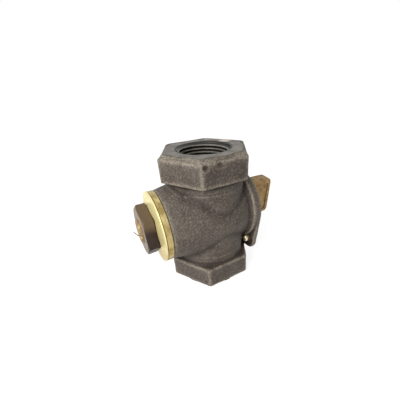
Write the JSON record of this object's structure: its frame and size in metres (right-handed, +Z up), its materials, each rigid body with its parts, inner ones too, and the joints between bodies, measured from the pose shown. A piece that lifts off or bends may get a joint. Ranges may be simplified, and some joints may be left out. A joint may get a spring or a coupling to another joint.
{
  "type": "quarter-turn plug service valve",
  "caption": "Quarter-turn service cock with a cast iron body, tapped hexagon ends, and a tapered bronze plug with a flat wrench head, held by a nut over brass washers.",
  "frame": {"origin": "centre of the lower end face, on the flow axis", "axes": "+Z up the flow axis out of the upper port, +X along the plug axis towards the flat head, -Y towards the front of the body"},
  "size_m": [0.083, 0.0412, 0.0714],
  "materials": {
    "grey_iron": "sand cast, lightly oiled",
    "plug_bronze": "sand cast head, ground taper",
    "washer_brass": "pressed, bright",
    "nut_bronze": "forged, tarnished",
    "pin_brass": "turned, bright",
    "tie_wire": "drawn"
  },
  "bodies": {
    "valve_body": {"body": "grey_iron", "check_pin": "pin_brass"},
    "plug_group": {"plug": "plug_bronze", "flat_washer": "washer_brass", "spring_washer": "washer_brass", "nut": "nut_bronze", "tie_wire": "tie_wire"}
  },
  "joints": [
    {"name": "plug_turn", "type": "hinge", "parent": "valve_body", "child": "plug_group", "pos_m": [0, 0, 0.0364], "axis": [1, 0, 0], "range_deg": [-6.5, 83.5]}
  ]
}
